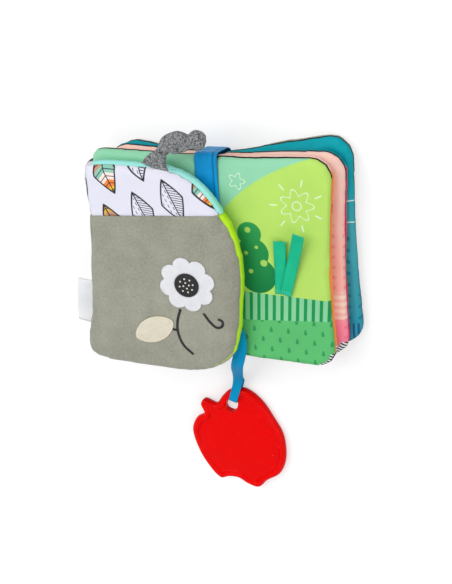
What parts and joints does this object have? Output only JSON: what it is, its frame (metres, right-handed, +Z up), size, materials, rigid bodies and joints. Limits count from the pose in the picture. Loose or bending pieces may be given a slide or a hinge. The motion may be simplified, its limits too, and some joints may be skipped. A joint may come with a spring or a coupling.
{
  "type": "fold-out baby book",
  "caption": "Soft padded fold-out baby book lying open, with a plush cover flap, satin strap, ribbon tags, knotted tail and a silicone teether on a ribbon.",
  "frame": {"origin": "middle of the footprint, on the surface that the book lies on", "axes": "+X to the book's right, +Y to the top of its pages, +Z up out of its front"},
  "size_m": [0.2186, 0.32, 0.0616],
  "materials": {
    "teal_cloth": "printed polyester",
    "grey_plush": "short plush",
    "foam": "polyester wadding",
    "peach_cloth": "printed polyester",
    "crimson_cloth": "plain polyester",
    "mint_cloth": "printed polyester",
    "coral_cloth": "plain polyester",
    "blue_satin": "satin",
    "printed_cloth": "printed polyester",
    "aqua_cloth": "plain polyester",
    "lime_cloth": "plain polyester",
    "squeaker_plastic": "soft, satin",
    "crinkle_film": "thin film",
    "white_satin": "satin",
    "black_cloth": "plain weave",
    "cream_satin": "satin",
    "green_satin": "satin ribbon",
    "grey_jersey": "heather jersey",
    "bright_blue_satin": "satin ribbon",
    "red_silicone": "translucent, glossy"
  },
  "bodies": {
    "left_half": {"back_left_face": "teal_cloth", "back_left_back": "grey_plush", "back_left_foam": "foam", "middle_left_face": "peach_cloth", "middle_left_back": "crimson_cloth", "middle_left_foam": "foam", "front_left_face": "mint_cloth", "front_left_back": "coral_cloth", "front_left_foam": "foam", "back_gutter": "teal_cloth", "middle_gutter": "peach_cloth", "front_gutter": "mint_cloth", "gutter_strap": "blue_satin"},
    "back_page": {"back_right_face": "teal_cloth", "back_right_back": "grey_plush", "back_right_foam": "foam"},
    "middle_page": {"middle_right_face": "peach_cloth", "middle_right_back": "crimson_cloth", "middle_right_foam": "foam"},
    "front_page": {"front_right_face": "mint_cloth", "front_right_back": "coral_cloth", "front_right_foam": "foam"},
    "spine": {"spine_panel": "grey_plush"},
    "cover": {"cover_print_panel": "printed_cloth", "cover_plush_panel": "grey_plush", "cover_lining_upper": "aqua_cloth", "cover_lining_lower": "lime_cloth", "cover_padding": "foam", "cover_squeaker": "squeaker_plastic", "cover_crinkle_film": "crinkle_film", "cover_white_patch": "white_satin", "cover_black_patch": "black_cloth", "cover_cream_patch": "cream_satin"},
    "side_tag": {"side_tag": "white_satin"},
    "ribbon_tags": {"ribbon_tag_left": "green_satin", "ribbon_tag_right": "green_satin"},
    "tail": {"knotted_tail": "grey_jersey"},
    "teether_loop": {"teether_ribbon": "bright_blue_satin"},
    "teether": {"teether": "red_silicone"}
  },
  "joints": [
    {"name": "right_half_lift", "type": "hinge", "parent": "left_half", "child": "back_page", "pos_m": [0.00666, 0.05744, 0.0094], "axis": [0, -1, 0], "range_deg": [0, 5], "deforming": ["gutter_strap", "back_gutter"]},
    {"name": "middle_page_turn", "type": "hinge", "parent": "back_page", "child": "middle_page", "pos_m": [0.00666, 0.05744, 0.0218], "axis": [0, -1, 0], "range_deg": [0, 49.5], "deforming": ["gutter_strap", "middle_gutter"]},
    {"name": "front_page_turn", "type": "hinge", "parent": "back_page", "child": "front_page", "pos_m": [0.00666, 0.05744, 0.0296], "axis": [0, -1, 0], "range_deg": [0, 110], "deforming": ["gutter_strap", "front_gutter"]},
    {"name": "spine_push", "type": "hinge", "parent": "left_half", "child": "spine", "pos_m": [-0.08335, 0.05744, 0.0045], "axis": [0, -1, 0], "range_deg": [0, 55]},
    {"name": "cover_open", "type": "hinge", "parent": "spine", "child": "cover", "pos_m": [-0.08675, 0.05644, 0.0501], "axis": [-0.0969, -0.9953, 0], "range_deg": [0, 130]},
    {"name": "side_tag_swing", "type": "hinge", "parent": "spine", "child": "side_tag", "pos_m": [-0.09189, 0.01744, 0.0408], "axis": [0.0969, 0.9953, 0], "range_deg": [-12, 45]},
    {"name": "ribbon_tags_lift", "type": "hinge", "parent": "front_page", "child": "ribbon_tags", "pos_m": [0.05645, 0.03524, 0.03793], "axis": [1, 0, 0], "range_deg": [0, 150]},
    {"name": "tail_swing", "type": "hinge", "parent": "cover", "child": "tail", "pos_m": [-0.03024, 0.13714, 0.0508], "axis": [0.9974, -0.0715, 0], "range_deg": [-35, 70]},
    {"name": "teether_loop_lift", "type": "hinge", "parent": "cover", "child": "teether_loop", "pos_m": [0.02716, 0.00244, 0.041], "axis": [-1, 0, 0], "range_deg": [0, 60], "deforming": ["teether_ribbon"]},
    {"name": "teether_swing", "type": "hinge", "parent": "teether_loop", "child": "teether", "pos_m": [0.00025, -0.08116, 0.004], "axis": [0, 0, 1], "range_deg": [-45, 60], "deforming": ["teether_ribbon"]}
  ],
  "couplings": [
    {"joint": "middle_page_turn", "follows": "front_page_turn", "ratio": 0.45},
    {"joint": "spine_push", "follows": "front_page_turn", "ratio": 0.5}
  ]
}
